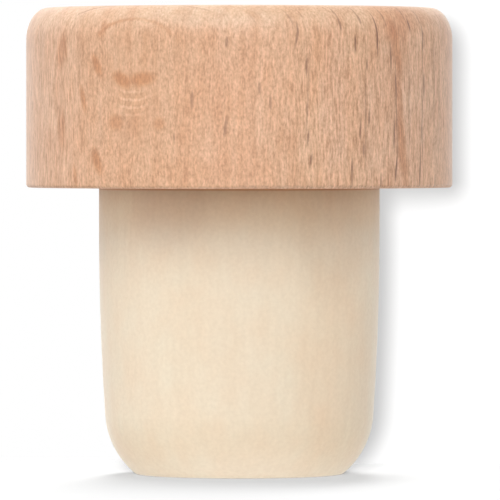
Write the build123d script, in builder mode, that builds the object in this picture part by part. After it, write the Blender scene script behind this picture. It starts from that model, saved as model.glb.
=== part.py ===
from build123d import *
import os

# Bottle stopper: a turned wooden cap, glued over the spigot of a moulded synthetic shank
# Millimetres, +Z up, origin at the centre of the shank's flat lower end

# Wooden cap
cap_diameter = 29.0
cap_height = 12.2
cap_round_width = 1.5
cap_round_height = 2.2
cap_lower_edge_round = 0.25

# Shank below the cap: a straight neck that seals, a slight taper and a rounded lower end
shank_diameter = 19.1
shank_length = 19.5
neck_length = 3.0
taper_loss = 0.42
end_round_height = 4.0
end_round_width = 2.1
end_rim_round = 0.4

# Spigot on top of the shank, moulded in one piece with it
spigot_diameter = 12.0
spigot_length = 6.5
spigot_chamfer = 0.8

# Room for the glue between the spigot and the cap's blind bore
glue_gap = 0.1
bore_end_gap = 0.5
bore_mouth_chamfer = 0.4

cap_radius = cap_diameter / 2
cap_top = shank_length + cap_height
shank_radius = shank_diameter / 2
taper_end_radius = shank_radius - taper_loss
end_flat_radius = taper_end_radius - end_round_width
spigot_radius = spigot_diameter / 2
bore_radius = spigot_radius + glue_gap
bore_depth = spigot_length + bore_end_gap
cap_seat = Plane.XY.offset(shank_length)

# Cap: a turned disc with an elliptical top edge and a barely broken lower edge, bored from below
with BuildPart() as wood_cap:
    with BuildSketch(Plane.XZ):
        with BuildLine():
            round_centre = (cap_radius - cap_round_width, cap_top - cap_round_height)
            top_round = EllipticalCenterArc(round_centre, cap_round_width, cap_round_height, arc_size=90)
            lower_corner = (cap_radius, shank_length)
            Polyline(top_round @ 1, (0, cap_top), (0, shank_length), lower_corner, top_round @ 0)
        make_face()
    revolve(axis=Axis.Z)
    lower_edge = wood_cap.edges().group_by(Axis.Z)[0].sort_by(SortBy.RADIUS)[-1]
    fillet(lower_edge, cap_lower_edge_round)
    with BuildSketch(cap_seat):
        Circle(bore_radius)
    extrude(amount=bore_depth, mode=Mode.SUBTRACT)
    bore_mouth = wood_cap.edges().group_by(Axis.Z)[0].sort_by(SortBy.RADIUS)[0]
    chamfer(bore_mouth, bore_mouth_chamfer)

# Shank: the turned outline of the neck, the taper and the rounded end, with the spigot above
with BuildPart() as synthetic_shank:
    with BuildSketch(Plane.XZ):
        with BuildLine():
            neck_top = (shank_radius, shank_length)
            neck = Line(neck_top, (shank_radius, shank_length - neck_length))
            taper = TangentArc(neck @ 1, (taper_end_radius, end_round_height), tangent=neck % 1)
            end_round = TangentArc(taper @ 1, (end_flat_radius, 0), tangent=taper % 1)
            Polyline(end_round @ 1, (0, 0), (0, shank_length), neck_top)
        make_face()
    revolve(axis=Axis.Z)
    fillet(synthetic_shank.edges().sort_by(Axis.Z)[0], end_rim_round)
    with BuildSketch(cap_seat):
        Circle(spigot_radius)
    extrude(amount=spigot_length)
    chamfer(synthetic_shank.edges().sort_by(Axis.Z)[-1], spigot_chamfer)

wood_cap.part.label = "wood_cap"
synthetic_shank.part.label = "synthetic_shank"

os.makedirs("parts", exist_ok=True)
export_step(wood_cap.part, "parts/wood_cap.step")
export_step(synthetic_shank.part, "parts/synthetic_shank.step")
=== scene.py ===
# Bottle stopper: a turned beech cap glued onto a moulded synthetic cork shank
# Metres in the object's own frame, with +Z up and -Y towards the viewer; textures count in millimetres
import math

import bpy
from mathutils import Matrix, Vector


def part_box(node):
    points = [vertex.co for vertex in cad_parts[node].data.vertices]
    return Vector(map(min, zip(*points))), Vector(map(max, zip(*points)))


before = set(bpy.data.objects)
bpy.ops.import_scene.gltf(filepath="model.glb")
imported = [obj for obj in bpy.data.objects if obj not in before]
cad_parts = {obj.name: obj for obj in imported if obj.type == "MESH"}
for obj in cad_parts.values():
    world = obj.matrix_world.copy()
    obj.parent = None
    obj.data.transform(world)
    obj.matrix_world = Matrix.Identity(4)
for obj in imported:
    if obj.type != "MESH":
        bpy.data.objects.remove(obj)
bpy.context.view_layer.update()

MM = 0.001
TO_MILLIMETRES = (1 / MM, 1 / MM, 1 / MM)
WHITE = (1.0, 1.0, 1.0, 1.0)
scene = bpy.context.scene
scene.view_settings.view_transform = "Standard"

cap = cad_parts["wood_cap"]
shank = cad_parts["synthetic_shank"]
cap_low, cap_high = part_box("wood_cap")
CAP_RADIUS = (cap_high.x - cap_low.x) / 2 / MM
CAP_BOTTOM = cap_low.z / MM
CAP_TOP = cap_high.z / MM


def direction(azimuth, elevation):
    """The way from the object to a lamp: degrees to the viewer's right of the front, and above level"""
    a, e = math.radians(azimuth), math.radians(elevation)
    return Vector((math.sin(a) * math.cos(e), -math.cos(a) * math.cos(e), math.sin(e)))


# Camera: a long lens half a metre away, as high as the cap's lower part, looking down by less than a degree
PHOTO_WIDTH_PX = 500
FOCAL_PX = 7347
AXIS_COLUMN_PX = 239.3
EYE_ROW_PX = 133.0
CAMERA_DISTANCE = 0.500
EYE_HEIGHT = 0.0232
NEAREST_SEEN = 0.01
FARTHEST_SEEN = 20
SENSOR_WIDTH_MM = 36


def add_camera():
    data = bpy.data.cameras.new("camera")
    data.sensor_width = SENSOR_WIDTH_MM
    data.lens = FOCAL_PX / PHOTO_WIDTH_PX * SENSOR_WIDTH_MM
    data.clip_start = NEAREST_SEEN
    data.clip_end = FARTHEST_SEEN
    eye = Vector((0, -CAMERA_DISTANCE, EYE_HEIGHT))
    metres_per_px = CAMERA_DISTANCE / FOCAL_PX
    aim_x = (PHOTO_WIDTH_PX / 2 - AXIS_COLUMN_PX) * metres_per_px
    aim_z = EYE_HEIGHT - (PHOTO_WIDTH_PX / 2 - EYE_ROW_PX) * metres_per_px
    camera = bpy.data.objects.new("camera", data)
    camera.location = eye
    camera.rotation_euler = (Vector((aim_x, 0, aim_z)) - eye).to_track_quat("-Z", "Y").to_euler()
    scene.collection.objects.link(camera)
    scene.camera = camera


# Soft ellipsoids: the depth at which a lens is at full strength, and how steeply a mark rises to its own
LENS_CORE = 0.65
MARK_STEEPNESS = 1.8

# The range of a noise, around its middle, over which a colour varies
NOISE_RANGE = (0.25, 0.75)
NOISE_MIDDLE = 0.5

# Gloss, sheen and the height of the relief, which both materials share
SPECULAR_LEVEL = 0.9
SHEEN = 0.3
SHEEN_ROUGHNESS = 0.35
RELIEF_HEIGHT = 0.02 * MM


class Shader:
    """One node material. Each method adds nodes and returns their output."""

    def __init__(self, name):
        self.material = bpy.data.materials.new(name)
        self.material.use_nodes = True
        self.tree = self.material.node_tree
        self.surface = self.tree.nodes["Principled BSDF"]

    def add(self, kind, inputs, **settings):
        made = self.tree.nodes.new("ShaderNode" + kind)
        for name, value in settings.items():
            setattr(made, name, value)
        for key, value in inputs.items():
            self.feed(made.inputs[key], value)
        return made

    def feed(self, socket, value):
        """Links an output to the socket, or sets the socket to a plain value"""
        if isinstance(value, bpy.types.NodeSocket):
            self.tree.links.new(value, socket)
        else:
            socket.default_value = value

    def math(self, operation, first, second=0.0):
        return self.add("Math", {0: first, 1: second}, operation=operation).outputs[0]

    def vector(self, operation, first, second=(0, 0, 0)):
        made = self.add("VectorMath", {0: first, 1: second}, operation=operation)
        return made.outputs["Value" if operation == "LENGTH" else "Vector"]

    def ramp(self, value, start, end, low=0.0, high=1.0):
        """Goes smoothly from low to high as the value goes from start to end, and stays between them"""
        ends = {"Value": value, "From Min": start, "From Max": end, "To Min": low, "To Max": high}
        return self.add("MapRange", ends, interpolation_type="SMOOTHSTEP").outputs["Result"]

    def blend(self, amount, first, second):
        """The first value where the amount is 0, and the second where it is 1"""
        return self.add("Mix", {0: amount, 2: first, 3: second}).outputs[0]

    def part(self, place, axis):
        """One coordinate of a place, or one channel of a colour"""
        return self.add("SeparateXYZ", {"Vector": place}).outputs[axis]

    def scaled(self, place, scale, offset=(0, 0, 0)):
        return self.add("Mapping", {"Vector": place, "Scale": scale, "Location": offset}).outputs["Vector"]

    def noise(self, place, scale, offset, detail=2.0, roughness=0.5, output="Factor"):
        """Cloudy noise with its cells per millimetre along each direction, and an offset of its own"""
        inputs = {"Vector": self.scaled(place, scale, offset), "Scale": 1.0, "Detail": detail}
        inputs["Roughness"] = roughness
        return self.add("TexNoise", inputs).outputs[0 if output == "Factor" else 1]

    def shifted(self, place, scale, offset, amounts):
        """The place moved about by noise, by up to about half the amounts"""
        push = self.noise(place, scale, offset, output="Color")
        push = self.vector("SUBTRACT", push, (NOISE_MIDDLE, NOISE_MIDDLE, NOISE_MIDDLE))
        return self.vector("ADD", place, self.vector("MULTIPLY", push, amounts))

    def from_centre(self, place, centre, size, turn=(0, 0, 0)):
        """A place seen from an ellipsoid's centre, with its surface 1 away all around"""
        inputs = {"Vector": place, "Location": centre, "Rotation": turn, "Scale": size}
        return self.add("Mapping", inputs, vector_type="TEXTURE").outputs["Vector"]

    def reach(self, place, centre, size):
        """0 at an ellipsoid's centre, 1 at its surface, and evenly more beyond"""
        return self.vector("LENGTH", self.from_centre(place, centre, size))

    def depth(self, place, centre, size, turn=(0, 0, 0)):
        """1 at an ellipsoid's centre, and evenly down to 0 at its surface"""
        inputs = {"Vector": self.from_centre(place, centre, size, turn)}
        return self.add("TexGradient", inputs, gradient_type="SPHERICAL").outputs["Fac"]

    def lens(self, place, centre, size, strength=1.0):
        """A soft ellipsoid: its strength in the core, and 0 from its surface outwards"""
        return self.ramp(self.depth(place, centre, size), 0.0, LENS_CORE, 0.0, strength)

    def shell(self, place, centre, size, thickness):
        """A soft ellipsoid's surface alone"""
        off = self.math("ABSOLUTE", self.math("SUBTRACT", self.reach(place, centre, size), 1.0))
        return self.ramp(off, thickness, 0.0)

    def marks(self, place, rows):
        """The strongest of many soft ellipsoids, each given with its strength"""
        total = 0.0
        for centre, size, turn, strength in rows:
            depth = self.depth(place, centre, size, turn)
            share = self.math("MULTIPLY", depth, MARK_STEEPNESS * strength)
            total = self.math("MAXIMUM", total, self.math("MINIMUM", share, strength))
        return total

    def tinted(self, colour, tint, amount):
        """The colour times the tint, where the amount is 1"""
        inputs = {0: amount, 6: colour, 7: (*tint, 1.0)}
        return self.add("Mix", inputs, data_type="RGBA", blend_type="MULTIPLY").outputs[2]

    def varied(self, colour, value, dark, light):
        """The colour times a tint between dark and light, which the noise picks"""
        shade = self.add("ValToRGB", {"Fac": value})
        for element, position, tint in zip(shade.color_ramp.elements, NOISE_RANGE, (dark, light)):
            element.position = position
            element.color = (*tint, 1.0)
        inputs = {0: 1.0, 6: colour, 7: shade.outputs["Color"]}
        return self.add("Mix", inputs, data_type="RGBA", blend_type="MULTIPLY").outputs[2]

    def finish(self, colour, relief, strength, gloss_noise, roughness):
        """Dresses the surface. Its roughness is a ramp of the given noise, with the ramp's four numbers"""
        self.feed(self.surface.inputs["Base Color"], colour)
        bump = self.add("Bump", {"Height": relief, "Strength": strength, "Distance": RELIEF_HEIGHT})
        self.feed(self.surface.inputs["Normal"], bump.outputs["Normal"])
        self.feed(self.surface.inputs["Roughness"], self.ramp(gloss_noise, *roughness))
        self.surface.inputs["Specular IOR Level"].default_value = SPECULAR_LEVEL
        self.surface.inputs["Sheen Weight"].default_value = SHEEN
        self.surface.inputs["Sheen Roughness"].default_value = SHEEN_ROUGHNESS
        return self.material


# Beech. The wood's own directions are: along the rays, across them, and up the grain
# The rays lie flat in the cap's surface at this turn from the front, and are cut end-on a quarter turn on
FIGURE_TURN = -29.5


def in_wood(turn, height, inside=0.0):
    """Where a place lies in the wood, from its degrees to the right of the front, height and depth inside"""
    away = math.radians(turn - FIGURE_TURN)
    radius = CAP_RADIUS - inside
    return (radius * math.sin(away), -radius * math.cos(away), height)


# Rays cut end-on: turn and height of the middle, length, strength, and lean across the grain in degrees
END_RAYS = [
    (-12.5, 25.4, 1.4, 0.5, 0), (-3.3, 29.2, 0.7, 0.6, 0), (-3.6, 23.6, 1.5, 0.55, -2),
    (5.3, 26.2, 0.9, 0.5, 0), (8.2, 25.2, 1.2, 0.5, 0), (-17.3, 22.9, 0.8, 0.4, 0),
    (15.4, 29.7, 1.8, 0.75, -8), (17.9, 27.6, 1.5, 0.8, 0), (18.0, 24.8, 1.5, 0.55, 0),
    (18.3, 22.9, 1.1, 0.75, -4), (19.1, 21.4, 1.1, 0.7, -8), (28.0, 30.4, 1.1, 0.7, 0),
    (31.1, 20.6, 2.3, 0.75, 0), (32.1, 29.1, 1.3, 0.8, 0), (34.6, 30.7, 0.6, 0.6, 0),
    (33.7, 23.4, 1.5, 0.65, -2), (34.8, 22.1, 1.0, 0.7, 0), (35.8, 27.7, 0.8, 0.6, 0),
    (36.5, 24.2, 1.3, 0.7, 0), (39.3, 29.8, 3.1, 0.95, 0), (40.6, 20.0, 1.0, 0.6, 0),
    (44.1, 28.2, 2.4, 0.7, 3), (46.1, 26.3, 1.9, 0.85, 5), (45.4, 23.1, 2.5, 0.9, -1),
    (46.2, 20.8, 1.8, 1.0, -5), (52.1, 30.4, 1.0, 0.95, 0), (57.9, 29.4, 2.2, 0.8, 0),
    (58.6, 26.4, 2.1, 0.85, 0), (57.3, 23.3, 1.7, 0.7, 0), (56.6, 20.7, 2.7, 0.85, -3),
    (65.1, 19.9, 1.0, 0.75, 0), (68.0, 25.1, 6.5, 0.35, 0), (5.2, 31.1, 1.6, 0.25, 0),
    (14.8, 31.0, 1.6, 0.35, 0), (28.1, 31.1, 1.4, 0.4, 0), (34.4, 31.1, 1.4, 0.45, 0),
    (42.9, 30.9, 1.6, 0.45, 0), (51.2, 31.2, 1.2, 0.4, 0), (57.6, 31.0, 1.4, 0.4, 0),
    (46.3, 24.6, 9.0, 0.45, 2), (57.8, 25.4, 9.6, 0.4, 0), (35.4, 24.0, 8.0, 0.35, 0),
    (64.5, 26.5, 8.0, 0.35, 0), (51.5, 24.5, 8.0, 0.3, 0), (18.2, 25.6, 7.5, 0.3, -2),
]
# Thickness and reach into the wood where the cut is square, the share of the thickness left where it slants
# most, and a mark's half length for each millimetre that shows, since its tips are too faint to show
END_RAY_THICKNESS = 0.2
END_RAY_REACH = 3.0
END_RAY_SLANT_SHARE = 0.35
END_RAY_HALF_LENGTH = 0.57

# Rays cut flat: place along the rays, height, length, width, tilt in degrees and strength
FLAT_RAYS = [
    (-0.75, 26.75, 2.1, 1.15, -28, 1.0), (0.75, 26.75, 2.6, 1.25, 8, 0.95),
    (-2.85, 27.7, 2.2, 0.85, -66, 1.0), (-4.1, 25.5, 2.5, 0.62, -74, 1.0),
    (-2.85, 21.3, 2.4, 0.95, -70, 1.0), (-5.9, 29.0, 2.9, 0.42, -78, 0.6),
    (-6.1, 23.8, 3.4, 0.34, -90, 0.6), (-4.85, 20.3, 2.0, 0.45, -80, 0.85),
    (-1.25, 23.9, 1.4, 1.4, 0, 0.65), (2.0, 23.8, 1.1, 1.1, 0, 0.6), (-2.35, 30.1, 1.8, 0.7, 85, 0.6),
]
FLAT_RAY_REACH = 0.6

# Reddish bands up the grain: turn, height, half width, half height, lean and strength
BANDS = [
    (46.4, 28.8, 0.5, 2.8, 10, 1.0), (47.4, 25.4, 0.45, 2.6, 6, 0.8), (48.6, 22.3, 0.55, 3.6, 7, 1.0),
    (-55.5, 28.6, 0.3, 1.5, 4, 0.75), (-55.3, 23.3, 0.3, 1.9, -3, 0.75),
    (-10.0, 31.1, 0.35, 0.7, -30, 0.45), (6.0, 31.1, 0.3, 0.7, 20, 0.4),
    (-19.0, 31.2, 0.3, 0.6, -30, 0.4), (-30.5, 31.1, 0.3, 0.7, -30, 0.6), (-3.5, 31.2, 0.3, 0.6, 10, 0.35),
]
BAND_REACH = 2.5

# Broad changes of tone around the cap: turn, height and depth inside its side, half sizes along and across
# the rays and up the grain, and tint. The first is a painted highlight: it pales the front of the top
# fillet, where light from above falls
CAP_TONES_AND_HIGHLIGHT = [
    (-8, 31.0, 0.9, (7.0, 6.0, 1.2), (1.04, 1.11, 1.17)),
    (56, 31.2, 0.5, (4.5, 3.2, 2.0), (0.90, 0.82, 0.75)),
    (46, 30.9, 0.5, (3.4, 2.8, 2.2), (0.93, 0.82, 0.74)),
    (-66, 25.0, 0.0, (6.0, 5.5, 9.0), (1.03, 1.06, 1.11)),
    (26, 25.0, 0.0, (2.0, 1.4, 8.0), (1.05, 1.10, 1.18)),
    (17, 24.0, 0.0, (2.0, 1.2, 3.5), (1.03, 1.06, 1.09)),
    (47, 24.0, 0.0, (6.0, 6.0, 9.0), (0.99, 1.02, 1.08)),
    (-31, 23.8, 0.0, (1.6, 1.5, 1.2), (0.94, 0.90, 0.87)),
    (-13.5, 20.7, 0.0, (2.2, 2.0, 1.4), (0.95, 0.91, 0.87)),
    (-1, 24.5, 0.0, (5.5, 5.5, 9.0), (1.0, 0.97, 0.95)),
]

# The arched figure around the flat rays: middle along the rays, height and half sizes
# It is the upper half of a shell, whose thickness is a share of its size, and weaker at its right end
ARCH = (0.1, 29.4, 2.8, 1.35)
ARCH_REACH = 12.0
ARCH_THICKNESS = 0.13
ARCH_FADE_HEIGHT = 0.5
ARCH_END_STRENGTHS = (0.9, 0.45)

# Pale arcs under the flat rays: middle along the rays, height and spacing, and the window they show in
NESTED_ARCS = (0.05, 28.5, 0.5)
NESTED_ARCS_REACH = 50.0
NESTED_ARCS_EDGES = (0.1, 0.9)
ARCS_WINDOW_DROP = 3.2
ARCS_WINDOW_SIZE = (1.6, 3.0, 1.45)

# Scattered rays, one in each cell: sizes along the rays, across them and up the grain, how freely they lie,
# the share of the half size inside which one is at full strength, and the least and the most strength
RAY_CELL = (9.0, 0.9, 2.4)
RAY_CELL_OFFSET = (3.1, 7.7, 1.9)
RAY_HALF_SIZE = (4.5, 0.08, 0.85)
RAY_FREEDOM = 0.85
RAY_CORE = 0.3
RAY_DRAWS = (0.2, 1.0)
RAY_STRENGTHS = (0.15, 0.9)
RAY_GROOVE = 0.8

# Growth rings: their width, how many lie before the axis so that the count stays above 0, where in a ring
# the late wood begins and is darkest, and how much of it shows on the cap's side
RING_WIDTH = 2.05
RINGS_BEFORE_AXIS = 40
LATE_WOOD_START = 0.4
LATE_WOOD_PEAK = 0.93
LATE_WOOD_ON_SIDE = 0.35

# Noises in the wood: cells per millimetre along the rays, across them and up the grain, and an offset
WAVER = ((0.3, 0.3, 0.1), (0, 0, 0))
RAGGEDNESS = ((3.0, 3.0, 1.2), (4, 9, 2))
SHORT_FIBRES = ((7.5, 7.5, 3.6), (3, 1, 7))
LONG_FIBRES = ((7.0, 7.0, 0.9), (1, 8, 3))
STREAKS = ((1.8, 1.8, 0.08), (5, 2, 4))
CLOUDS = ((0.22, 0.22, 0.12), (7, 3, 1))
PATCHES = ((0.9, 0.9, 0.3), (2, 6, 9))

# How far, in millimetres, noise moves the grain about, and the outlines of the marks
WAVER_AMOUNTS = (0.5, 0.5, 0.0)
RAGGED_AMOUNTS = (0.2, 0.06, 0.25)

# Contrast of the fibres in the middle, on the left and on the right, and the places along the rays between
# which the left and the right begin. A calm patch around the flat rays, and the top, have less of it
SHORT_FIBRE_SHARES = (0.87, 0.52, 0.75)
LONG_FIBRE_SHARES = (0.45, 0.97, 1.0)
LEFT_BEGINS = (-1.5, -6.5)
RIGHT_BEGINS = (7.5, 11.5)
CALM_PATCH = ((0.0, -CAP_RADIUS, 26.5), (3.0, 5.0, 6.0), 0.22)
CALM_ON_TOP = 0.42

# The heights between which the end grain begins, and the places from front to rear between which the
# scattered rays do, since the ones in front are listed above
END_GRAIN_BEGINS = (CAP_TOP - 2.2, CAP_TOP - 0.4)
REAR_BEGINS = (-3.0, 0.5)

# Colours of the beech: its base, the dark and the light tint that each noise gives, and the marks' tints
BEECH_COLOUR = (0.637, 0.359, 0.210, 1.0)
CLOUD_TINTS = ((0.965, 0.955, 0.94), (1.035, 1.045, 1.06))
PATCH_TINTS = ((0.98, 0.93, 0.885), (1.02, 1.07, 1.115))
STREAK_TINTS = ((0.94, 0.90, 0.86), (1.06, 1.10, 1.14))
FIBRE_TINTS = ((0.70, 0.615, 0.53), (1.325, 1.43, 1.51))
END_GRAIN_TINT = (0.97, 1.065, 1.13)
LATE_WOOD_TINT = (0.93, 0.88, 0.85)
BAND_TINT = (0.82, 0.68, 0.56)
FLAT_RAY_TINT = (0.83, 0.67, 0.52)
PALE_ARC_TINT = (1.18, 1.30, 1.40)
END_RAY_TINT = (0.31, 0.21, 0.16)
SCATTERED_RAY_TINT = (0.60, 0.47, 0.40)
BEECH_RELIEF = 0.5
BEECH_ROUGHNESS = (0.2, 0.8, 0.68, 0.54)


def flat_cut_rays(s, place):
    rows = []
    for along_rays, height, length, width, tilt, strength in FLAT_RAYS:
        depth = -math.sqrt(CAP_RADIUS ** 2 - along_rays ** 2)
        centre = (along_rays, depth, height)
        size = (length / 2, FLAT_RAY_REACH, width / 2)
        rows.append((centre, size, (0, math.radians(-tilt), 0), strength))
    return s.marks(place, rows)


def arch(s, place):
    middle, height, half_width, half_height = ARCH
    centre, size = (middle, -CAP_RADIUS, height), (half_width, ARCH_REACH, half_height)
    above = s.ramp(s.part(place, "Z"), height, height + ARCH_FADE_HEIGHT)
    share = s.ramp(s.part(place, "X"), middle - half_width, middle + half_width, *ARCH_END_STRENGTHS)
    share = s.math("MULTIPLY", share, above)
    return s.math("MULTIPLY", s.shell(place, centre, size, ARCH_THICKNESS), share)


def nested_arcs(s, place):
    """Pale arcs under the flat rays, one inside the other"""
    middle, height, spacing = NESTED_ARCS
    out = s.reach(place, (middle, -CAP_RADIUS, height), (spacing, NESTED_ARCS_REACH, spacing))
    wave = s.math("SINE", s.math("MULTIPLY", out, 2 * math.pi))
    window = s.lens(place, (middle, -CAP_RADIUS, height - ARCS_WINDOW_DROP), ARCS_WINDOW_SIZE)
    return s.math("MULTIPLY", s.ramp(wave, *NESTED_ARCS_EDGES), window)


def end_cut_rays(s, place):
    """Where the cut is at a slant, they are thinner and reach less far, so that they still look narrow"""
    rows = []
    for turn, height, length, strength, lean in END_RAYS:
        square = abs(math.sin(math.radians(turn - FIGURE_TURN)))
        thickness = END_RAY_THICKNESS * (END_RAY_SLANT_SHARE + (1 - END_RAY_SLANT_SHARE) * square)
        size = (END_RAY_REACH * square ** 2, thickness / 2, length * END_RAY_HALF_LENGTH)
        rows.append((in_wood(turn, height), size, (math.radians(lean), 0, 0), strength))
    return s.marks(place, rows)


def reddish_bands(s, place):
    rows = []
    for turn, height, half_width, half_height, lean, strength in BANDS:
        size = (BAND_REACH, half_width, half_height)
        rows.append((in_wood(turn, height), size, (math.radians(lean), 0, 0), strength))
    return s.marks(place, rows)


def scattered_rays(s, grain):
    """Rays all around, one in each cell, with their own strengths"""
    cells = s.scaled(grain, tuple(1 / c for c in RAY_CELL), RAY_CELL_OFFSET)
    inputs = {"Vector": cells, "Scale": 1.0, "Randomness": RAY_FREEDOM}
    scatter = s.add("TexVoronoi", inputs, feature="F1")
    gap = s.vector("SUBTRACT", cells, scatter.outputs["Position"])
    gap = s.vector("MULTIPLY", gap, tuple(c / h for c, h in zip(RAY_CELL, RAY_HALF_SIZE)))
    shapes = s.ramp(s.vector("LENGTH", gap), 1.0, RAY_CORE)
    strengths = s.ramp(s.part(scatter.outputs["Color"], "X"), *RAY_DRAWS, *RAY_STRENGTHS)
    return s.math("MULTIPLY", shapes, strengths)


def growth_rings(s, along):
    """Late wood, darkest near each ring's outer edge"""
    shifted = s.math("ADD", along, RINGS_BEFORE_AXIS * RING_WIDTH)
    phase = s.math("FRACT", s.math("DIVIDE", shifted, RING_WIDTH))
    rise = s.ramp(phase, LATE_WOOD_START, LATE_WOOD_PEAK)
    fall = s.ramp(phase, 1.0, LATE_WOOD_PEAK)
    return s.math("MULTIPLY", rise, fall)


def by_side(s, to_left, to_right, shares):
    """One value in the middle, one on the left and one on the right"""
    middle, left, right = shares
    return s.blend(to_right, s.blend(to_left, middle, left), right)


def beech_fibres(s, short_fibres, long_fibres, calm, along):
    """Mostly short torn fibres where the rays lie flat or slanting, and long smooth ones elsewhere"""
    to_right = s.ramp(along, *RIGHT_BEGINS)
    to_left = s.ramp(along, *LEFT_BEGINS)
    short_share = by_side(s, to_left, to_right, SHORT_FIBRE_SHARES)
    long_share = by_side(s, to_left, to_right, LONG_FIBRE_SHARES)
    short_part = s.math("MULTIPLY", s.math("SUBTRACT", short_fibres, NOISE_MIDDLE), short_share)
    long_part = s.math("MULTIPLY", s.math("SUBTRACT", long_fibres, NOISE_MIDDLE), long_share)
    both = s.math("ADD", s.math("ADD", short_part, long_part), NOISE_MIDDLE)
    return s.blend(calm, both, NOISE_MIDDLE)


def beech():
    s = Shader("sanded_beech")
    place = s.add("TexCoord", {}).outputs["Object"]
    inputs = {"Vector": place, "Rotation": (0, 0, math.radians(-FIGURE_TURN)), "Scale": TO_MILLIMETRES}
    wood = s.add("Mapping", inputs).outputs["Vector"]
    grain = s.shifted(wood, *WAVER, WAVER_AMOUNTS)
    ragged = s.shifted(wood, *RAGGEDNESS, RAGGED_AMOUNTS)
    along = s.part(grain, "X")
    outline = s.scaled(place, TO_MILLIMETRES)
    on_top = s.ramp(s.part(outline, "Z"), *END_GRAIN_BEGINS)
    behind = s.ramp(s.part(outline, "Y"), *REAR_BEGINS)

    # What the grain gives all around
    short_fibres = s.noise(grain, *SHORT_FIBRES, roughness=0.65)
    long_fibres = s.noise(grain, *LONG_FIBRES, roughness=0.6)
    calm = s.math("MAXIMUM", s.lens(wood, *CALM_PATCH), s.math("MULTIPLY", on_top, CALM_ON_TOP))
    fibres = beech_fibres(s, short_fibres, long_fibres, calm, along)
    streaks = s.noise(grain, *STREAKS, detail=3.0, roughness=0.6)
    clouds = s.noise(grain, *CLOUDS)
    patches = s.noise(grain, *PATCHES)
    late_wood = s.math("MULTIPLY", growth_rings(s, along), s.blend(on_top, LATE_WOOD_ON_SIDE, 1.0))

    # Rays that the view shows, and others around the rear and on the end grain
    end_rays = end_cut_rays(s, ragged)
    flat_rays = flat_cut_rays(s, ragged)
    arched = arch(s, ragged)
    pale_arcs = nested_arcs(s, ragged)
    others = s.math("MULTIPLY", scattered_rays(s, grain), s.math("MAXIMUM", behind, on_top))
    bands = reddish_bands(s, ragged)

    # The noises and the zones tint the base colour, and then the marks do
    colour = s.varied(BEECH_COLOUR, clouds, *CLOUD_TINTS)
    colour = s.varied(colour, patches, *PATCH_TINTS)
    colour = s.varied(colour, streaks, *STREAK_TINTS)
    colour = s.varied(colour, fibres, *FIBRE_TINTS)
    # The first zone is a painted highlight on the top fillet
    for turn, height, inside, size, tint in CAP_TONES_AND_HIGHLIGHT:
        colour = s.tinted(colour, tint, s.lens(grain, in_wood(turn, height, inside), size))
    colour = s.tinted(colour, END_GRAIN_TINT, on_top)
    colour = s.tinted(colour, LATE_WOOD_TINT, late_wood)
    colour = s.tinted(colour, BAND_TINT, bands)
    colour = s.tinted(colour, FLAT_RAY_TINT, s.math("MAXIMUM", flat_rays, arched))
    colour = s.tinted(colour, PALE_ARC_TINT, pale_arcs)
    colour = s.tinted(colour, END_RAY_TINT, end_rays)
    colour = s.tinted(colour, SCATTERED_RAY_TINT, others)

    relief = s.math("SUBTRACT", fibres, s.math("MULTIPLY", others, RAY_GROOVE))
    return s.finish(colour, relief, BEECH_RELIEF, long_fibres, BEECH_ROUGHNESS)


# Synthetic cork. Its noises: cells per millimetre across, in depth and upwards, and an offset
BLOTCHES = ((0.5, 0.5, 0.35), (2, 5, 1))
SPECKLE = ((4.0, 4.0, 4.0), (6, 2, 8))
FLOW = ((2.2, 2.2, 0.25), (1, 7, 5))

# Its colours: the base, the dark and the light tint that each noise gives, and the tints by height, of which
# the neck's and the glue's paint shade under the cap
CORK_COLOUR = (0.806, 0.670, 0.501, 1.0)
BLOTCH_TINTS = ((1.0, 0.963, 0.938), (1.0, 1.03, 1.045))
FLOW_TINTS = ((0.98, 0.975, 0.97), (1.015, 1.02, 1.025))
SPECKLE_TINTS = ((0.965, 0.96, 0.955), (1.03, 1.035, 1.04))
# The neck's tint is painted shade: the shank darkens and warms towards the cap, under its overhang
NECK_SHADE_TINT = (1.0, 0.945, 0.87)
FOOT_TINT = (1.0, 0.975, 0.94)
# The glue's tint is a dark glue line that also paints the contact shade, and warm light thrown from the cap,
# just under the cap
GLUE_AND_SHADE_TINT = (0.76, 0.50, 0.33)

# The heights between which the painted shade of the neck, the tone of the foot and the line of glue with its
# painted contact shade begin
NECK_SHADE_BEGINS = (CAP_BOTTOM - 4.0, CAP_BOTTOM - 1.3)
FOOT_BEGINS = (5.5, 1.5)
GLUE_AND_SHADE_BEGINS = (CAP_BOTTOM - 0.22, CAP_BOTTOM - 0.08)

# Broad changes of tone around the shank: centre and half sizes of each, and tint. The second and third are
# painted shade, where the cap's overhang darkens the shank just below it
SHANK_TONES_AND_SHADE = [
    ((6.8, -6.8, 8.0), (5.0, 5.0, 9.0), (0.985, 0.935, 0.895)),
    ((6.2, -7.1, 16.5), (4.5, 4.5, 6.0), (0.90, 0.875, 0.855)),
    ((-4.7, -8.2, 18.3), (4.5, 3.5, 4.0), (0.91, 0.885, 0.89)),
]
BLOTCH_RELIEF_SHARE = 0.5
CORK_RELIEF = 0.4
CORK_ROUGHNESS = (0.3, 0.7, 0.66, 0.58)


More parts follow.
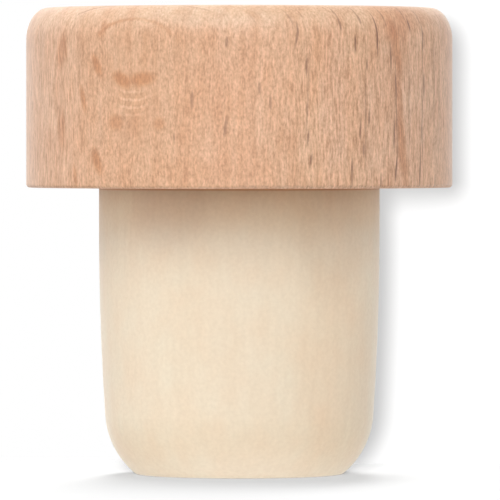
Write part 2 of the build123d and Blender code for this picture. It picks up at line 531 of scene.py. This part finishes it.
def synthetic_cork():
    s = Shader("synthetic_cork")
    place = s.add("TexCoord", {}).outputs["Object"]
    foam = s.scaled(place, TO_MILLIMETRES)
    blotches = s.noise(foam, *BLOTCHES)
    speckle = s.noise(foam, *SPECKLE)
    flow = s.noise(foam, *FLOW)
    height = s.part(foam, "Z")
    colour = s.varied(CORK_COLOUR, blotches, *BLOTCH_TINTS)
    colour = s.varied(colour, flow, *FLOW_TINTS)
    colour = s.varied(colour, speckle, *SPECKLE_TINTS)
    # Painted shade under the cap's overhang, darker and warmer upwards
    colour = s.tinted(colour, NECK_SHADE_TINT, s.ramp(height, *NECK_SHADE_BEGINS))
    colour = s.tinted(colour, FOOT_TINT, s.ramp(height, *FOOT_BEGINS))
    # The last two of these paint the cap's shade on the neck
    for centre, size, tint in SHANK_TONES_AND_SHADE:
        colour = s.tinted(colour, tint, s.lens(foam, centre, size))
    # A dark line of glue at the joint, which also paints the contact shade under the cap
    colour = s.tinted(colour, GLUE_AND_SHADE_TINT, s.ramp(height, *GLUE_AND_SHADE_BEGINS))
    relief = s.math("ADD", speckle, s.math("MULTIPLY", blotches, BLOTCH_RELIEF_SHARE))
    return s.finish(colour, relief, CORK_RELIEF, speckle, CORK_ROUGHNESS)


def dress(node, material):
    node.data.materials.clear()
    node.data.materials.append(material)


# White paper. It takes little light from its surroundings, so that the object throws no colour on it
# What shows of it is its own glow and the light of its own lamps, less the object's shadow
PAPER_COLOUR = 0.1

# Floor: it lies a hair below the shank's end, and fades out far away and behind the wall card
# In full light it reads just over white, so that the lamps' grain doesn't show in it
FLOOR_SIZE = 1.2
FLOOR_DROP = 0.02 * MM
FLOOR_FADE = 0.25
FLOOR_REAR_FADE = 26 * MM
FLOOR_LEVEL = 1.02

# Wall card: upright, close behind the right half of the cap, with soft left, right and upper edges
WALL_GAP = 1.5 * MM
WALL_PLACE = cap_high.y + WALL_GAP
WALL_RIGHT = 28 * MM
WALL_TOP = 45 * MM
WALL_FADE = 7.5 * MM
WALL_GLOW = 0.58


def off_the_floor(s, place):
    """Far from the stopper, and from the wall card backwards"""
    far = s.ramp(s.vector("LENGTH", place), FLOOR_FADE, FLOOR_SIZE / 2)
    return s.math("MAXIMUM", far, s.ramp(s.part(place, "Y"), WALL_PLACE, FLOOR_REAR_FADE))


def off_the_wall(s, place):
    """Towards the wall card's left, right and upper edges"""
    x, z = s.part(place, "X"), s.part(place, "Z")
    left = s.ramp(x, WALL_FADE, -WALL_FADE)
    right = s.ramp(x, WALL_RIGHT - WALL_FADE, WALL_RIGHT)
    above = s.ramp(z, WALL_TOP - WALL_FADE, WALL_TOP)
    return s.math("MAXIMUM", left, s.math("MAXIMUM", right, above))


def paper(name, glow_level, missing_at):
    """White paper, which is clear from its back, and fades out where the given measure goes to 1"""
    s = Shader(name)
    s.tree.nodes.remove(s.surface)
    diffuse = s.add("BsdfDiffuse", {"Color": (PAPER_COLOUR, PAPER_COLOUR, PAPER_COLOUR, 1.0)})
    seen = s.add("LightPath", {}).outputs["Is Camera Ray"]
    glow = s.add("Emission", {"Color": WHITE, "Strength": s.math("MULTIPLY", seen, glow_level)})
    sheet = s.add("AddShader", {0: diffuse.outputs[0], 1: glow.outputs[0]}).outputs[0]
    geometry = s.add("NewGeometry", {})
    missing = missing_at(s, geometry.outputs["Position"])
    missing = s.math("MAXIMUM", missing, geometry.outputs["Backfacing"])
    clear = s.add("BsdfTransparent", {}).outputs[0]
    sheet = s.add("MixShader", {0: missing, 1: sheet, 2: clear}).outputs[0]
    s.tree.links.new(sheet, s.tree.nodes["Material Output"].inputs["Surface"])
    return s.material


def add_sheet(name, corners, material):
    """A flat sheet that throws no light or shadow on the object, and isn't mirrored in it"""
    mesh = bpy.data.meshes.new(name)
    mesh.from_pydata(corners, [], [tuple(range(len(corners)))])
    mesh.materials.append(material)
    sheet = bpy.data.objects.new(name, mesh)
    scene.collection.objects.link(sheet)
    sheet.visible_diffuse = False
    sheet.visible_glossy = False
    sheet.visible_shadow = False
    return sheet


def add_floor(glow_level):
    half, z = FLOOR_SIZE / 2, -FLOOR_DROP
    corners = [(-half, -half, z), (half, -half, z), (half, half, z), (-half, half, z)]
    return add_sheet("floor", corners, paper("floor_paper", glow_level, off_the_floor))


def add_wall():
    """A card behind the right half, which catches the shadow; all around it is clear white"""
    left, right, foot, top = -WALL_FADE, WALL_RIGHT, -FLOOR_DROP, WALL_TOP
    corners = [(x, WALL_PLACE, z) for x, z in ((left, foot), (right, foot), (right, top), (left, top))]
    return add_sheet("wall", corners, paper("wall_paper", WALL_GLOW, off_the_wall))


# Lamps on the object: name, azimuth, elevation, spread, level and the pieces that they light
OBJECT_LAMPS = [
    ("front_level", 0, 6, 12, 0.12, "both"), ("front_low", 0, 18, 20, 0.20, "both"),
    ("front", 0, 35, 30, 0.22, "both"), ("front_high", 0, 58, 30, 0.05, "both"),
    ("left_key", -35, 40, 30, 0.28, "both"), ("left_high", -55, 60, 45, 0.17, "both"),
    ("left_side", -88, 8, 30, 0.15, "both"), ("left_rear", -125, 35, 60, 0.25, "both"),
    ("left_rear_cap", -125, 35, 60, 0.11, "cap"), ("right_key", 35, 40, 30, 0.135, "both"),
    ("right_side", 90, 8, 30, 0.12, "both"), ("right_high", 75, 45, 50, 0.10, "both"),
    ("right_rear", 125, 20, 40, 0.06, "both"), ("right_rear_cap", 125, 20, 40, 0.05, "cap"),
    ("rear", 180, 40, 60, 0.30, "both"), ("under_cap", 0, -85, 60, 0.60, "cap"),
    ("under_shank", 0, -84, 60, 0.56, "shank"), ("under_left", -90, -70, 40, 0.16, "shank"),
    ("under_right", 90, -70, 40, 0.16, "shank"), ("right_edge", 88, 5, 25, 0.05, "shank"),
    ("left_edge", -88, 3, 20, 0.07, "shank"),
]

# The wall card's lamp, from the front and a little to the left: azimuth, elevation, spread and level
WALL_LAMP = (-4.1, 2.0, 6.0, 4.6)

# Lamps on the floor, each with its share of the floor's light: name, azimuth, elevation, spread and share
# Those behind leave a shadow that fades forwards, and those in front one to the right of the rounded end
FLOOR_LAMPS = [
    ("floor_rear_low", 174, 40, 14, 0.07), ("floor_rear", 178, 52, 14, 0.11),
    ("floor_rear_high", -172, 64, 14, 0.11), ("floor_overhead", -150, 78, 14, 0.09),
    ("floor_front_low", -1.5, 5, 5, 0.22), ("floor_front", -3, 16, 6, 0.14),
]
LAMPS_ON_FLOOR = sum(share for *_, share in FLOOR_LAMPS)

# What the world gives beside the lamps
FILL_LEVEL = 0.03


def group(name, *objects):
    """A collection for light linking, which isn't in the scene itself"""
    made = bpy.data.collections.new(name)
    for o in objects:
        made.objects.link(o)
    return made


def add_lamp(name, azimuth, elevation, spread, level, lights, blocked_by=None):
    """A soft lamp far away: at level 1, a white sheet that faces it reads 1"""
    data = bpy.data.lights.new(name, "SUN")
    data.angle = math.radians(spread)
    data.energy = math.pi * level
    lamp = bpy.data.objects.new(name, data)
    lamp.rotation_euler = direction(azimuth, elevation).to_track_quat("Z", "Y").to_euler()
    lamp.light_linking.receiver_collection = lights
    if blocked_by:
        lamp.light_linking.blocker_collection = blocked_by
    scene.collection.objects.link(lamp)


def add_lamps(floor, wall):
    """Each lamp lights its own pieces. The floor takes the shadow of the shank alone"""
    lit = {"both": group("stopper", cap, shank), "cap": group("cap_only", cap)}
    lit["shank"] = group("shank_only", shank)
    for name, azimuth, elevation, spread, level, pieces in OBJECT_LAMPS:
        add_lamp(name, azimuth, elevation, spread, level, lit[pieces])
    add_lamp("wall_lamp", *WALL_LAMP, group("wall_only", wall))
    floor_only = group("floor_only", floor)
    for name, azimuth, elevation, spread, share in FLOOR_LAMPS:
        level = share / PAPER_COLOUR / math.sin(math.radians(elevation))
        add_lamp(name, azimuth, elevation, spread, level, floor_only, lit["shank"])


def add_world():
    """White where it is seen or mirrored, and a low even fill elsewhere"""
    world = bpy.data.worlds.new("studio")
    scene.world = world
    world.use_nodes = True
    tree = world.node_tree
    path = tree.nodes.new("ShaderNodeLightPath")
    seen = path.outputs["Is Camera Ray"]
    for ray in ("Is Glossy Ray", "Is Transmission Ray"):
        either = tree.nodes.new("ShaderNodeMath")
        either.operation = "MAXIMUM"
        tree.links.new(seen, either.inputs[0])
        tree.links.new(path.outputs[ray], either.inputs[1])
        seen = either.outputs[0]
    level = tree.nodes.new("ShaderNodeMapRange")
    level.inputs["To Min"].default_value = FILL_LEVEL
    tree.links.new(seen, level.inputs["Value"])
    background = tree.nodes["Background"]
    background.inputs["Color"].default_value = WHITE
    tree.links.new(level.outputs["Result"], background.inputs["Strength"])


dress(cap, beech())
dress(shank, synthetic_cork())
floor = add_floor(FLOOR_LEVEL - LAMPS_ON_FLOOR)
wall = add_wall()
add_lamps(floor, wall)
add_world()
add_camera()
